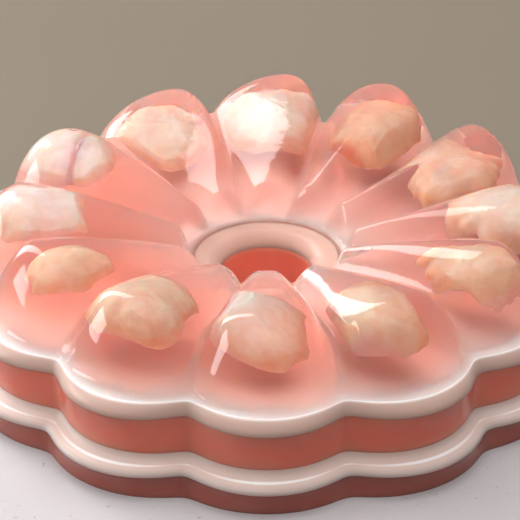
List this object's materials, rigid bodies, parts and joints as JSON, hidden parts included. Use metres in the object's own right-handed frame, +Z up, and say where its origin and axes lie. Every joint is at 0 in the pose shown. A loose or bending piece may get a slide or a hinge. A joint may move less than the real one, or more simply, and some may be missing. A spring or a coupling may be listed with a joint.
{
  "type": "layered moulded jelly on a plate",
  "caption": "Fluted ring-shaped moulded jelly in pink and milk-white poured layers, with petal-shaped bulbs round a centre hole, set on a flat round white plate.",
  "frame": {"origin": "centre of the plate's foot, on the surface that it stands on", "axes": "+Z up through the jelly's centre hole, the shortest extent; -Y towards the front petal, +X to its right"},
  "size_m": [0.2808, 0.2808, 0.0692],
  "materials": {
    "plate_glaze": "gloss",
    "pink_jelly": "gloss",
    "milk_jelly": "gloss",
    "clear_pink_jelly": "gloss",
    "lychee_flesh": "satin"
  },
  "bodies": {
    "root": {"plate": "plate_glaze", "base_pink_layer": "pink_jelly", "lower_milk_layer": "milk_jelly", "middle_pink_layer": "pink_jelly", "upper_milk_layer": "milk_jelly", "petal_jelly_layer": "clear_pink_jelly"}
  },
  "joints": []
}
